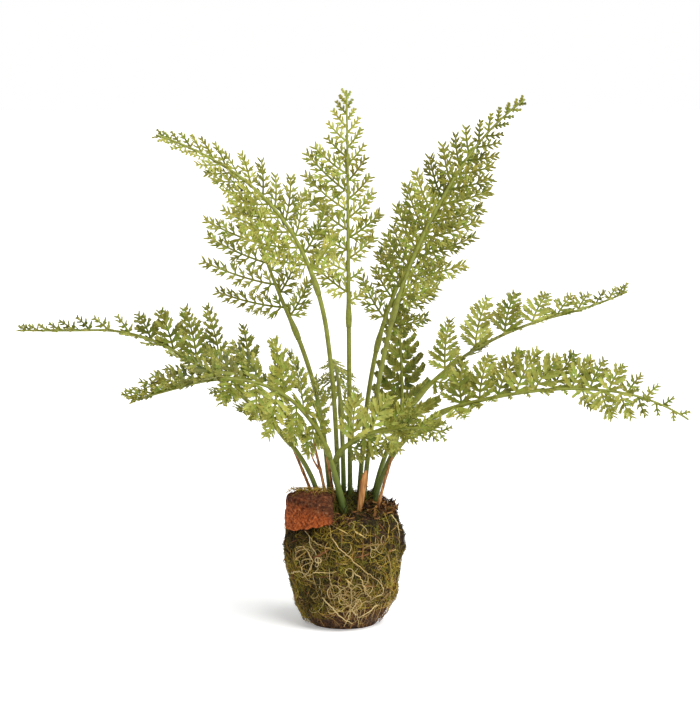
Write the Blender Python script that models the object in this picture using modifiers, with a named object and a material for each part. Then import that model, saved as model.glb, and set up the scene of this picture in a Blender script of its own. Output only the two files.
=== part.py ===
"""Drop-in lace fern: twelve moulded fronds on wire stems, stuck in a moss-wrapped plug of soil.

Metres, +Z up. The origin is the middle of the plug's flat underside, which stands on the table.
+X runs to the right along the longest frond, and -Y looks out of the front.
"""

import math
from dataclasses import dataclass

import bmesh
import bpy
import numpy as np
from mathutils import Matrix, Vector

# The plug of soil: heights and radii of its turned outline, from the underside up to its shoulder.
PLUG_OUTLINE = (
    (0.0, 0.0185), (0.003, 0.021), (0.008, 0.0245), (0.014, 0.0265), (0.026, 0.0282), (0.045, 0.0305)
)
PLUG_SHOULDER = (0.058, 0.0297)
PLUG_TOP = (0.062, 0.0275)
PLUG_MOUND = (0.0658, 0.0170)
PLUG_SIDES = 32

# The moss jacket around it, open at both ends and drawn in over the shoulder.
MOSS_OUTLINE = (
    (0.015, 0.0292), (0.026, 0.0318), (0.034, 0.0334), (0.045, 0.0340),
    (0.055, 0.0332), (0.063, 0.0308), (0.069, 0.0274),
)
MOSS_RIM = (0.069, 0.0256)

# The lump of coir pressed into the front left shoulder, cut from a block that the round of the plug trims.
COIR_LOW = (-0.0400, -0.0400, 0.0545)
COIR_HIGH = (-0.0052, -0.0068, 0.0785)
COIR_ROUND = 0.0350
COIR_SIDES = 48
COIR_EDGE = 0.0020
COIR_EDGE_ANGLE = 50

GAP = 0.0003
STEM_RADIUS = 0.00135
SOCKET_DEPTH = 0.008
SOCKET_ABOVE = 0.009  # how far a socket's cutter runs on above the soil's edge, to clear the mound
SLEEVE_LENGTH = 0.007
SLEEVE_OVERLAP = 2 / 3  # share of the sleeve that covers the stem's end
SLEEVE_RADIUS = 0.0023
RIB_RADIUS = 0.0012
RIB_TIP_RADIUS = 0.0005
TUBE_RESOLUTION = 1
STEM_STATIONS = 9
RIB_STATIONS = 13
BORE_STATIONS = 4

# A leaflet leaves the rib at the first angle low on the frond and at the second near its tip, in degrees.
LEAFLET_ANGLE = 68
LEAFLET_ANGLE_TIP = 40
LEAFLET_THICKNESS = 0.0012
LEAFLET_WIDTH_SHARE = 0.18
LEAFLET_SPACING_SHARE = 0.40
LEAFLET_ROOT = 0.0004
LEAFLET_STAGGER = 0.22
LEAFLET_SIDES = 4
LAST_LEAFLET = 0.96

# Shading is broken at edges sharper than this, in degrees.
SHARP_ANGLE = 40


@dataclass
class Frond:
    """One frond. Angles are in degrees: a heading turns from +X towards +Y, a lean tips from upright."""

    foot: tuple  # where the stem leaves the soil, x and y
    heading: float
    length: float  # from the soil to the tip, along the curve
    leans: tuple  # at equal steps along the curve, from the soil to the tip
    blade_start: float  # share of the length that is bare stem
    pairs: int
    reach: float  # length of the longest leaflet
    face: tuple = (-90, 60)  # heading and height that the upper side looks towards
    face_tip: tuple = None
    rise: float = 5  # how far the leaflets lift out of the flat
    taper: float = 0.8  # above 1 the blade narrows early


TOWARDS_FRONT = -90

FRONDS = {
    "tall_left": Frond(
        (-0.0030, 0.0010), 195, 0.258, (1, 3, 8, 28, 54, 73), 0.52, 9, 0.040, face=(-70, 40), rise=10
    ),
    "back_left": Frond(
        (-0.0070, 0.0090), 160, 0.188, (6, 6, 17, 26, 21, 24), 0.58, 7, 0.040, face=(TOWARDS_FRONT, 20)
    ),
    "centre": Frond(
        (0.0035, 0.0050), 98, 0.238, (2, 3, 4, 3, 3, 10), 0.48, 10, 0.038, face=(TOWARDS_FRONT, 5)
    ),
    "tall_right": Frond(
        (0.0105, -0.0010), -15, 0.257, (4, 8, 13, 24, 33, 54), 0.47, 10, 0.044, face=(TOWARDS_FRONT, 15)
    ),
    "back_right": Frond(
        (0.0080, 0.0110), 20, 0.218, (4, 5, 12, 26, 33, 40), 0.46, 8, 0.036, face=(TOWARDS_FRONT, 10)
    ),
    "long_left": Frond(
        (-0.0120, -0.0040), 172, 0.220, (8, 40, 54, 62, 92, 90), 0.24, 9, 0.044,
        face=(TOWARDS_FRONT, 70), face_tip=(TOWARDS_FRONT, 50), rise=40, taper=1.2
    ),
    "low_left": Frond(
        (0.0005, -0.0140), 202, 0.172, (10, 18, 43, 77, 102, 103), 0.30, 8, 0.038,
        face=(TOWARDS_FRONT, 75), rise=30
    ),
    "mid_right": Frond(
        (0.0155, 0.0040), 12, 0.207, (7, 24, 48, 65, 78, 67), 0.36, 8, 0.031,
        face=(TOWARDS_FRONT, 60), rise=32
    ),
    "long_right": Frond(
        (0.0165, -0.0050), -12, 0.215, (4, 37, 73, 82, 96, 123), 0.36, 9, 0.033,
        face=(TOWARDS_FRONT, 60), face_tip=(TOWARDS_FRONT, 10), rise=18
    ),
    "short_right": Frond(
        (0.0140, 0.0110), 59, 0.128, (25, 54, 26, -1, -7, -1), 0.38, 6, 0.028,
        face=(TOWARDS_FRONT, 10), rise=0
    ),
    "front": Frond(
        (0.0030, -0.0095), -19, 0.104, (-22, -22, 46, 76, 84, 104), 0.40, 5, 0.030,
        face=(TOWARDS_FRONT, 30), rise=15
    ),
    "back": Frond(
        (0.0000, 0.0135), 95, 0.138, (10, 18, 38, 65, 85, 95), 0.45, 6, 0.036,
        face=(TOWARDS_FRONT, 45), rise=-10
    ),
}

# Dry leafless stalks: foot, heading, length, leans.
STALK_RADIUS = 0.0010
STALK_TOP_RADIUS = 0.0007
STALK_STATIONS = 5
DRY_STALKS = {
    "far_left": ((-0.0138, 0.0040), 190, 0.042, (21, 22, 23)),
    "left": ((-0.0080, -0.0030), 185, 0.042, (11, 12, 14)),
    "straw": ((-0.0042, -0.0045), 185, 0.034, (8, 9, 10)),
    "right": ((0.0178, -0.0100), -5, 0.036, (12, 15, 18)),
}

# The papery sheath that stands at the front of the crown.
SHEATH_FOOT = (0.0075, -0.0125)
SHEATH_SIZE = (0.0046, 0.0014, 0.0355)
SHEATH_LEAN = 10
SHEATH_SIDES = 8
SHEATH_RINGS = 6

COLOURS = {
    "soil": (0.045, 0.026, 0.014),
    "moss": (0.12, 0.11, 0.035),
    "coir": (0.26, 0.085, 0.035),
    "stem": (0.10, 0.14, 0.035),
    "leaf": (0.19, 0.25, 0.045),
    "dry": (0.23, 0.09, 0.03),
    "sheath": (0.45, 0.26, 0.12),
}
ROUGHNESS = {"stem": 0.6, "leaf": 0.6}
DRY_ROUGHNESS = 0.95


def finish(name):
    material = bpy.data.materials.new(name)
    material.use_nodes = True
    shader = material.node_tree.nodes["Principled BSDF"]
    shader.inputs["Base Color"].default_value = (*COLOURS[name], 1)
    shader.inputs["Roughness"].default_value = ROUGHNESS.get(name, DRY_ROUGHNESS)
    shader.inputs["Metallic"].default_value = 0
    return material


def place(name, data, collection):
    thing = bpy.data.objects.new(name, data)
    collection.objects.link(thing)
    return thing


def hide(thing):
    thing.hide_render = True
    thing.display_type = "WIRE"
    return thing


def direction(heading, lean):
    heading, lean = math.radians(heading), math.radians(lean)
    return Vector((math.sin(lean) * math.cos(heading), math.sin(lean) * math.sin(heading), math.cos(lean)))


class Rail:
    """The middle line of a stem: its lean is read between the stations, and its places are summed from it."""

    STEPS = 160

    def __init__(self, foot, heading, length, leans):
        self.length = length
        shares = np.linspace(0, 1, self.STEPS + 1)
        lean = np.radians(np.interp(shares, np.linspace(0, 1, len(leans)), leans))
        heading = math.radians(heading)
        self.along = np.stack(
            [np.sin(lean) * math.cos(heading), np.sin(lean) * math.sin(heading), np.cos(lean)], axis=1
        )
        steps = (self.along[1:] + self.along[:-1]) / 2 * length / self.STEPS
        self.places = np.vstack([np.zeros(3), np.cumsum(steps, axis=0)]) + (*foot, PLUG_TOP[0])

    def at(self, distance):
        """The place at a distance from the soil. Below it the stem runs straight on."""
        if distance < 0:
            return Vector(self.places[0] + self.along[0] * distance)
        step = distance / self.length * self.STEPS
        stations = np.arange(self.STEPS + 1)
        return Vector([np.interp(step, stations, self.places[:, axis]) for axis in range(3)])

    def tangent(self, distance):
        step = int(round(max(distance, 0) / self.length * self.STEPS))
        return Vector(self.along[step]).normalized()


def tube(name, places, radii, collection):
    """A round bar through the places, as a curve with filled ends."""
    curve = bpy.data.curves.new(name, "CURVE")
    curve.dimensions = "3D"
    curve.bevel_depth = 1.0
    curve.bevel_resolution = TUBE_RESOLUTION
    curve.use_fill_caps = True
    spline = curve.splines.new("POLY")
    spline.points.add(len(places) - 1)
    for point, where, radius in zip(spline.points, places, radii):
        point.co = (*where, 1)
        point.radius = radius
    return place(name, curve, collection)


def meshed(thing, collection):
    """The curve object turned into a closed mesh object of the same name."""
    name = thing.name
    graph = bpy.context.evaluated_depsgraph_get()
    mesh = bpy.data.meshes.new_from_object(thing.evaluated_get(graph))
    shape = bmesh.new()
    shape.from_mesh(mesh)
    bmesh.ops.remove_doubles(shape, verts=shape.verts, dist=1e-6)
    shape.to_mesh(mesh)
    shape.free()
    matrix = thing.matrix_world.copy()
    curve = thing.data
    bpy.data.objects.remove(thing)
    bpy.data.curves.remove(curve)
    solid = place(name, mesh, collection)
    solid.matrix_world = matrix
    return solid


def boolean(thing, operation, other):
    step = thing.modifiers.new(f"{operation.lower()} {other.name}", "BOOLEAN")
    step.operation = operation
    step.solver = "EXACT"
    if isinstance(other, bpy.types.Collection):
        step.operand_type = "COLLECTION"
        step.collection = other
    else:
        step.object = other
    return step


def turned(name, outline, sides, collection, closed=False):
    """A profile of (height, radius) points, listed from the top down its outer side, turned about Z."""
    mesh = bpy.data.meshes.new(name)
    points = [(radius, 0, height) for height, radius in outline]
    count = len(points)
    edges = [(i, i + 1) for i in range(count - 1)]
    if closed:
        edges.append((count - 1, 0))
    mesh.from_pydata(points, edges, [])
    thing = place(name, mesh, collection)
    screw = thing.modifiers.new("turn", "SCREW")
    screw.steps = screw.render_steps = sides
    screw.use_merge_vertices = True
    screw.merge_threshold = 1e-6
    return thing


def shade(thing):
    thing.data.shade_smooth()
    thing.data.set_sharp_from_angle(angle=math.radians(SHARP_ANGLE))


def plug_of_soil(parts, sockets, notch):
    outline = [(PLUG_MOUND[0], 0.0), PLUG_MOUND, PLUG_TOP, PLUG_SHOULDER, *reversed(PLUG_OUTLINE), (0.0, 0.0)]
    plug = turned("soil_plug", outline, PLUG_SIDES, parts)
    boolean(plug, "DIFFERENCE", notch)
    boolean(plug, "DIFFERENCE", sockets)
    return plug


def plug_radius(height):
    heights, radii = zip(*PLUG_OUTLINE, PLUG_SHOULDER)
    return float(np.interp(height, heights, radii))


def moss_jacket(parts, notch):
    """Its inner wall follows the plug a gap away, and its rim stands above the soil's edge."""
    outer = list(reversed(MOSS_OUTLINE))
    inner = [(height, plug_radius(height) + GAP) for height, _ in PLUG_OUTLINE if height > MOSS_OUTLINE[0][0]]
    lowest = MOSS_OUTLINE[0][0]
    inner = [(lowest, plug_radius(lowest) + GAP), *inner]
    shoulder = (PLUG_SHOULDER[0], PLUG_SHOULDER[1] + 2 * GAP)
    neck = (PLUG_TOP[0] + GAP, PLUG_TOP[1] + 3 * GAP)
    jacket = turned("moss_jacket", [*outer, *inner, shoulder, neck, MOSS_RIM], PLUG_SIDES, parts, closed=True)
    boolean(jacket, "DIFFERENCE", notch)
    return jacket


def block(name, low, high, collection):
    shape = bmesh.new()
    bmesh.ops.create_cube(shape, size=1)
    low, high = Vector(low), Vector(high)
    size = Matrix.Diagonal((*(high - low), 1))
    shape.transform(Matrix.Translation((low + high) / 2) @ size)
    mesh = bpy.data.meshes.new(name)
    shape.to_mesh(mesh)
    shape.free()
    return place(name, mesh, collection)


def coir_lump(parts, cutters):
    lump = block("coir_lump", COIR_LOW, COIR_HIGH, parts)
    height = COIR_HIGH[2] - COIR_LOW[2]
    shape = bmesh.new()
    middle = Matrix.Translation((0, 0, (COIR_HIGH[2] + COIR_LOW[2]) / 2))
    radii = {"radius1": COIR_ROUND, "radius2": COIR_ROUND}
    bmesh.ops.create_cone(shape, cap_ends=True, segments=COIR_SIDES, depth=height * 2, matrix=middle, **radii)
    mesh = bpy.data.meshes.new("coir_round")
    shape.to_mesh(mesh)
    shape.free()
    boolean(lump, "INTERSECT", hide(place("coir_round", mesh, cutters)))
    edges = lump.modifiers.new("soft edges", "BEVEL")
    edges.width = COIR_EDGE
    edges.segments = 1
    edges.limit_method = "ANGLE"
    edges.angle_limit = math.radians(COIR_EDGE_ANGLE)
    return lump


def socket(name, rail, depth, radius, cutters):
    """The hole that a stem of the radius stands in, from its foot's end to above the soil."""
    places = [rail.at(-depth - GAP), rail.at(0), rail.at(SOCKET_ABOVE)]
    return hide(meshed(tube(name, places, [radius + GAP] * 3, cutters), cutters))


def stem(name, rail, collar, parts):
    distances = [-SOCKET_DEPTH, *np.linspace(0, collar, STEM_STATIONS)]
    return tube(name, [rail.at(d) for d in distances], [STEM_RADIUS] * len(distances), parts)


def facing(frond, share):
    """The way that the upper side looks at a share of the frond, turned from the foot's way to the tip's."""
    start = direction(frond.face[0], 90 - frond.face[1])
    end = start
    if frond.face_tip:
        end = direction(frond.face_tip[0], 90 - frond.face_tip[1])
    return start.lerp(end, share)


def leaflets(frond, rail):
    """Places one flat spindle for each leaflet: it yields its length, half width and matrix."""
    step = (1 - frond.blade_start) / frond.pairs
    half_spacing = step * frond.length * LEAFLET_SPACING_SHARE
    rise = math.radians(frond.rise)
    for pair in range(frond.pairs):
        height = (pair + 0.5) / frond.pairs
        angle = math.radians(LEAFLET_ANGLE + (LEAFLET_ANGLE_TIP - LEAFLET_ANGLE) * height)
        length = frond.reach * (1 - height) ** frond.taper
        for side in (-1, 1):
            stagger = LEAFLET_STAGGER * step * (side + 1) / 2
            share = frond.blade_start + (1 - frond.blade_start) * height * LAST_LEAFLET + stagger
            where = rail.at(share * frond.length)
            along = rail.tangent(share * frond.length)
            look = facing(frond, share)
            up = (look - look.dot(along) * along).normalized()
            out = side * up.cross(along) * math.cos(rise) + up * math.sin(rise)
            run = along * math.cos(angle) + out * math.sin(angle)
            across = (along - along.dot(run) * run).normalized()
            normal = run.cross(across)
            turn = Matrix((across, normal, run)).transposed().to_4x4()
            half_width = min(length * LEAFLET_WIDTH_SHARE, half_spacing)
            middle = where + run * (length / 2 + LEAFLET_ROOT)
            size = Matrix.Diagonal((half_width, LEAFLET_THICKNESS / 2, length / 2, 1))
            yield Matrix.Translation(middle) @ turn @ size


def blade(name, frond, rail, collar, parts, cutters):
    """The moulded spray: a tapering rib with its leaflets, and a sleeve that slips over the stem's end."""
    lowest = collar - SLEEVE_LENGTH * SLEEVE_OVERLAP
    shoulder = lowest + SLEEVE_LENGTH
    distances = [lowest, collar + GAP, *np.linspace(shoulder, frond.length, RIB_STATIONS)]
    radii = [SLEEVE_RADIUS, SLEEVE_RADIUS, *np.linspace(RIB_RADIUS, RIB_TIP_RADIUS, RIB_STATIONS)]
    rib = meshed(tube(name, [rail.at(d) for d in distances], radii, parts), parts)
    shape = bmesh.new()
    for matrix in leaflets(frond, rail):
        bmesh.ops.create_uvsphere(
            shape, u_segments=LEAFLET_SIDES, v_segments=LEAFLET_SIDES, radius=1, matrix=matrix
        )
    mesh = bpy.data.meshes.new(f"leaflets {name}")
    shape.to_mesh(mesh)
    shape.free()
    joined = boolean(rib, "UNION", hide(place(f"leaflets {name}", mesh, cutters)))
    joined.use_self = True
    start = lowest - 2 * GAP
    bore_places = [rail.at(d) for d in np.linspace(start, collar + GAP, BORE_STATIONS)]
    bore = tube(f"bore {name}", bore_places, [STEM_RADIUS + GAP] * BORE_STATIONS, cutters)
    boolean(rib, "DIFFERENCE", hide(meshed(bore, cutters)))
    return rib


def dry_sheath(parts, sockets):
    """A flat papery spindle whose lower end stands in the soil."""
    foot = Vector((*SHEATH_FOOT, PLUG_TOP[0] - SOCKET_DEPTH))
    lean = direction(0, SHEATH_LEAN).to_track_quat("Z", "Y").to_matrix().to_4x4()
    half = Vector(SHEATH_SIZE) / 2
    made = []
    for name, room, collection in (("dry_sheath", 0, parts), ("sheath_slot", GAP, sockets)):
        shape = bmesh.new()
        size = Matrix.Diagonal((half.x + room, half.y + room, half.z + room, 1))
        matrix = Matrix.Translation(foot) @ lean @ Matrix.Translation((0, 0, half.z)) @ size
        bmesh.ops.create_uvsphere(
            shape, u_segments=SHEATH_SIDES, v_segments=SHEATH_RINGS, radius=1, matrix=matrix
        )
        mesh = bpy.data.meshes.new(name)
        shape.to_mesh(mesh)
        shape.free()
        made.append(place(name, mesh, collection))
    hide(made[1])
    return made[0]


def main():
    for thing in list(bpy.data.objects):
        bpy.data.objects.remove(thing)
    scene = bpy.context.scene.collection
    parts = bpy.data.collections.new("lace_fern")
    cutters = bpy.data.collections.new("cutters")
    sockets = bpy.data.collections.new("sockets")
    for collection in (parts, cutters):
        scene.children.link(collection)
    cutters.children.link(sockets)
    finishes = {name: finish(name) for name in COLOURS}

    for name, frond in FRONDS.items():
        rail = Rail(frond.foot, frond.heading, frond.length, frond.leans)
        collar = frond.blade_start * frond.length - SLEEVE_LENGTH * (1 - SLEEVE_OVERLAP)
        socket(f"socket {name}", rail, SOCKET_DEPTH, STEM_RADIUS, sockets)
        stem(f"stem_{name}", rail, collar, parts).data.materials.append(finishes["stem"])
        spray = blade(f"frond_{name}", frond, rail, collar, parts, cutters)
        spray.data.materials.append(finishes["leaf"])
        shade(spray)

    for name, (foot, heading, length, leans) in DRY_STALKS.items():
        rail = Rail(foot, heading, length, leans)
        socket(f"socket {name}", rail, SOCKET_DEPTH, STALK_RADIUS, sockets)
        distances = [-SOCKET_DEPTH, *np.linspace(0, length, STALK_STATIONS)]
        radii = np.linspace(STALK_RADIUS, STALK_TOP_RADIUS, len(distances))
        stalk = tube(f"dry_stalk_{name}", [rail.at(d) for d in distances], radii, parts)
        stalk.data.materials.append(finishes["dry"])

    sheath = dry_sheath(parts, sockets)
    sheath.data.materials.append(finishes["sheath"])
    shade(sheath)

    room = Vector((GAP, GAP, GAP))
    notch = hide(block("coir_notch", Vector(COIR_LOW) - room, Vector(COIR_HIGH) + room, cutters))
    for maker, arguments, colour in (
        (plug_of_soil, (parts, sockets, notch), "soil"),
        (moss_jacket, (parts, notch), "moss"),
        (coir_lump, (parts, cutters), "coir"),
    ):
        thing = maker(*arguments)
        thing.data.materials.append(finishes[colour])
        shade(thing)


main()
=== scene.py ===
import math

import bpy
import numpy as np
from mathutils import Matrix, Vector


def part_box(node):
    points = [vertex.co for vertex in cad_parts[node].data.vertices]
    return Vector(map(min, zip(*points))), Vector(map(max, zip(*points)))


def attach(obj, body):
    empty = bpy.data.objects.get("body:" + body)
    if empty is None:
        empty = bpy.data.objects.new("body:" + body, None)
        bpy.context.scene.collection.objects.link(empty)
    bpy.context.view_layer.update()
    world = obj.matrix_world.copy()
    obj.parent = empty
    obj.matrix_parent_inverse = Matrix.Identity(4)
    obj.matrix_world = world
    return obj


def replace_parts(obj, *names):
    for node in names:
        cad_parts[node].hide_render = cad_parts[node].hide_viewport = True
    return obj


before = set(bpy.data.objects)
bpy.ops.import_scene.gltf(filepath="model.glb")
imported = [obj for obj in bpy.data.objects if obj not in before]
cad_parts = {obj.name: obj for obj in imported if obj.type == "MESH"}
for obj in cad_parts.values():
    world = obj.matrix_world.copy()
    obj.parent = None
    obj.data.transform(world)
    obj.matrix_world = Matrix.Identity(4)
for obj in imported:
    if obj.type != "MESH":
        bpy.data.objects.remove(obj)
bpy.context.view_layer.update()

# --------------------------------------------------------------------------------------------------
# Soil plug. Pressed peat and coconut fibre, dark brown and crumbly, turned out of its mould. It stands on
# its flat underside, and shows below the moss and between the stems at the top.


def linear(code):
    """A linear RGBA colour from an sRGB hex code: each channel is undone by the sRGB curve."""
    channels = np.array([int(code[i : i + 2], 16) for i in (1, 3, 5)]) / 255
    low = channels / 12.92
    high = ((channels + 0.055) / 1.055) ** 2.4
    return (*np.where(channels <= 0.04045, low, high), 1.0)


def new_finish(name, roughness, specular):
    """A material with its node tree. Its constants are set on the Principled shader's own sockets."""
    material = bpy.data.materials.new(name)
    material.use_nodes = True
    shader = material.node_tree.nodes["Principled BSDF"]
    shader.inputs["Roughness"].default_value = roughness
    shader.inputs["Specular IOR Level"].default_value = specular
    return material, material.node_tree


def add_node(tree, kind, inputs=None, output=0, stops=(), **settings):
    """Adds a node and gives one of its outputs. An input is a value, or the output that feeds it, and
    stops are a colour ramp's positions and hex codes."""
    node = tree.nodes.new("ShaderNode" + kind)
    for name, value in settings.items():
        setattr(node, name, value)
    for socket, value in (inputs or {}).items():
        if isinstance(value, bpy.types.NodeSocket):
            tree.links.new(value, node.inputs[socket])
        else:
            node.inputs[socket].default_value = value
    for number, (position, code) in enumerate(stops):
        elements = node.color_ramp.elements
        element = elements[number] if number < 2 else elements.new(position)
        element.position, element.color = position, linear(code)
    return node.outputs[output]


def paint(tree, colour, height=None, depth=0.0, strength=0.0):
    """Feeds a colour to the shader, and a bump from a height pattern that is so many metres deep."""
    inputs = tree.nodes["Principled BSDF"].inputs
    tree.links.new(colour, inputs["Base Color"])
    if height is not None:
        bump = add_node(tree, "Bump", {"Height": height, "Distance": depth, "Strength": strength})
        tree.links.new(bump, inputs["Normal"])


def cell_noise(points, size, seed):
    """Value noise from -1 to 1: a hash at each cell's eight corners, blended by smooth steps."""
    cells = np.asarray(points) / size
    low = np.floor(cells).astype(np.int64)
    step = cells - low
    step = step * step * (3 - 2 * step)
    total = np.zeros(step.shape[:-1])
    for corner in np.ndindex(2, 2, 2):
        key = (low + corner) @ np.array([73856093, 19349663, 83492791]) + seed * 2654435761
        key = ((key ^ (key >> 13)) * 1274126177) & 0xFFFFFFFF
        value = ((key ^ (key >> 16)) & 0xFFFF) / 32767.5 - 1
        total += value * np.prod(np.where(corner, step, 1 - step), axis=-1)
    return total


def new_piece(name, made, finish, smooth=True):
    """A mesh from points, face arrays, and a tone for each point or None. It rides on the root."""
    points, faces, tone = made
    mesh = bpy.data.meshes.new(name)
    corners = np.concatenate([face.ravel() for face in faces])
    counts = np.concatenate([np.full(len(face), face.shape[1]) for face in faces])
    starts = np.concatenate([[0], np.cumsum(counts)[:-1]])
    mesh.vertices.add(len(points))
    mesh.vertices.foreach_set("co", np.asarray(points, np.float32).ravel())
    mesh.loops.add(len(corners))
    mesh.loops.foreach_set("vertex_index", corners.astype(np.int32))
    mesh.polygons.add(len(counts))
    mesh.polygons.foreach_set("loop_start", starts.astype(np.int32))
    mesh.polygons.foreach_set("use_smooth", np.full(len(counts), smooth))
    mesh.update(calc_edges=True)
    if tone is not None:
        data = mesh.attributes.new("tone", "FLOAT_COLOR", "POINT").data
        data.foreach_set("color", np.asarray(tone, np.float32).ravel())
    piece = bpy.data.objects.new(name, mesh)
    bpy.context.scene.collection.objects.link(piece)
    mesh.materials.append(finish)
    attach(piece, "root")
    return piece


def unit(vectors):
    """The vectors divided by their lengths."""
    return vectors / np.maximum(np.linalg.norm(vectors, axis=-1, keepdims=True), 1e-12)


def turned_grid(profile, around):
    """Points of a turned surface: each (radius, height) of a profile goes round Z in equal steps."""
    turn = np.linspace(0, 2 * np.pi, around, endpoint=False)
    radius, height = np.asarray(profile, float).T
    radius, height = radius[:, None], height[:, None]
    return np.stack(np.broadcast_arrays(radius * np.cos(turn), radius * np.sin(turn), height), axis=-1)


def grid_faces(rows, columns, closed_rows=False):
    """Quads of a grid that closes on itself along its columns, and along its rows too if asked."""
    index = np.arange(rows * columns).reshape(rows, columns)
    below = index if closed_rows else index[:-1]
    above = np.roll(index, -1, axis=0) if closed_rows else index[1:]
    corners = below, np.roll(below, -1, axis=1), np.roll(above, -1, axis=1), above
    return np.stack(corners, axis=-1).reshape(-1, 4)


def capped_faces(rows, columns):
    """Faces of a turned grid: its quads, and one many-sided face that closes each end."""
    rim = np.arange(columns)[None]
    return [grid_faces(rows, columns), rim[:, ::-1], rim + (rows - 1) * columns]


def resampled(outline, count):
    """The outline's (radius, height) points at equal steps along its length."""
    outline = np.asarray(outline, float)
    length = np.concatenate([[0], np.cumsum(np.linalg.norm(np.diff(outline, axis=0), axis=1))])
    steps = np.linspace(0, length[-1], count)
    return np.stack([np.interp(steps, length, outline[:, axis]) for axis in range(2)], axis=1)


# The plug's outline, as radii and heights from the middle of its underside to the middle of its crown.
PLUG_SIDE = (
    (0.0002, 0.0), (0.0185, 0.0), (0.0210, 0.003), (0.0245, 0.008), (0.0265, 0.014), (0.0282, 0.026),
)
PLUG_CROWN = ((0.0305, 0.045), (0.0297, 0.058), (0.0275, 0.062), (0.0170, 0.0655), (0.0002, 0.0658))
SOIL_EDGE = PLUG_CROWN[2]
CROWN_RISE = 0.0035
HOLLOW_PLACE, HOLLOW_RADIUS, HOLLOW_DEPTH = (0.003, -0.019), 0.005, 0.0030
plug_rows, plug_around = 100, 160


def crown_height(x, y):
    """Height of the soil's crown: a mound that the outline gives, raised towards the back right, less a
    round hollow at the front of its middle. Both fade out at the edge."""
    reach = np.hypot(x, y)
    mound = np.interp(reach, *np.array(PLUG_CROWN[:1:-1]).T)
    rise = CROWN_RISE * np.clip((0.4 * x + 0.9 * y) / 0.024, -0.3, 1)
    from_hollow = (x - HOLLOW_PLACE[0]) ** 2 + (y - HOLLOW_PLACE[1]) ** 2
    hollow = HOLLOW_DEPTH * np.exp(-from_hollow / HOLLOW_RADIUS**2)
    return mound + rise * np.clip(1 - (reach / SOIL_EDGE[0]) ** 4, 0, 1) - hollow


plug_grid = turned_grid(resampled((*PLUG_SIDE, *PLUG_CROWN), plug_rows), plug_around)
outward = unit(plug_grid * (1, 1, 0))
# The side is rough with grit of 2.2 and 1.0 mm, and the crown is heaped in clods of 4.0 and 1.5 mm.
crumb = 0.0005 * cell_noise(plug_grid, 0.0022, 3) + 0.0003 * cell_noise(plug_grid, 0.0010, 4) - 0.0006
on_side = np.clip(plug_grid[..., 2] / 0.002, 0, 1) * np.clip((0.060 - plug_grid[..., 2]) / 0.002, 0, 1)
plug_points = plug_grid + outward * (crumb * on_side)[..., None]
on_top = plug_grid[..., 2] > SOIL_EDGE[1] - 0.0003
clods = 0.0010 * cell_noise(plug_grid, 0.0040, 5) + 0.0006 * cell_noise(plug_grid, 0.0015, 6)
heaped = crown_height(plug_grid[..., 0], plug_grid[..., 1]) + clods
plug_points[..., 2] = np.where(on_top, heaped, plug_points[..., 2])

# Peat that was pressed damp and has dried: matt and dark brown, paler on its crumbs and fibre, and near
# black in its pits, which is painted shade. The clods are 2.4 mm across and the grit 1.1 mm. Scales are 1
# over the size in metres.
soil_finish, soil_tree = new_finish("pressed_peat_and_fibre", 0.95, 0.2)
place = add_node(soil_tree, "TexCoord", output="Object")
clods_inputs = {"Vector": place, "Scale": 420, "Detail": 6, "Roughness": 0.7}
clod_pattern = add_node(soil_tree, "TexNoise", clods_inputs)
grit = add_node(soil_tree, "TexVoronoi", {"Vector": place, "Scale": 900})
# The near black at the low end of the ramp is painted shade in the pits of the peat.
soil_stops = (0.30, "#181009"), (0.50, "#3a2819"), (0.62, "#65492f"), (0.75, "#927554")
soil_colour = add_node(soil_tree, "ValToRGB", {"Fac": clod_pattern}, stops=soil_stops)
paint(soil_tree, soil_colour, grit, 0.0006, 0.8)

soil_made = (plug_points.reshape(-1, 3), capped_faces(plug_rows, plug_around), None)
soil_core = new_piece("soil_core", soil_made, soil_finish)
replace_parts(soil_core, "soil_plug")

# --------------------------------------------------------------------------------------------------
# Soil crumbs and litter. Loose lumps of peat and bark, half a millimetre to two across, and dead scraps
# of leaf and bark as long as 8 mm. They lie on the plug's top, are heaped at the right and back, and
# spill over its rim there.

random = np.random.default_rng(7)
# Cross sections of the thin bars, as shares of the half width and the half thickness.
TRIANGLE = ((1, 0), (-0.5, 0.87), (-0.5, -0.87))
DIAMOND = ((1, 0), (0, 1), (-1, 0), (0, -1))
PENTAGON = tuple((math.cos(i * 0.4 * math.pi), math.sin(i * 0.4 * math.pi)) for i in range(5))


def wobble(shape, amount):
    """Normal noise of the given spread."""
    return random.normal(0, amount, shape)


def bars(centres, above, wide, thick, section, share=0.0, chance=0.0):
    """Closed bars along paths: centres is bars by stations by 3, above is the section's upper side, and a
    corner (a, b) lies at the centre plus a times the half width across, and b times the half thickness
    above. The tone holds each station's share, the bar's random value, and 1 at its sides."""
    along = unit(np.gradient(centres, axis=1))
    above = unit(above - (above * along).sum(-1, keepdims=True) * along)
    across = np.cross(above, along)
    a, b = np.array(section, float).T
    wide, thick, share, chance = (
        np.broadcast_to(value, centres.shape[:2])[..., None] for value in (wide, thick, share, chance)
    )
    points = centres[:, :, None] + (wide * a)[..., None] * across[:, :, None]
    points = points + (thick * b)[..., None] * above[:, :, None]
    count, stations, corners = points.shape[:3]
    index = np.arange(count * stations * corners).reshape(count, stations, corners)
    turned = np.roll(index, -1, axis=2)
    sides = np.stack([index[:, :-1], turned[:, :-1], turned[:, 1:], index[:, 1:]], axis=-1).reshape(-1, 4)
    caps = np.concatenate([index[:, 0, ::-1], index[:, -1]])
    tone = np.stack(np.broadcast_arrays(share, chance, np.abs(a), 1.0), axis=-1)
    return points.reshape(-1, 3), sides, caps, tone.reshape(-1, 4)


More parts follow.
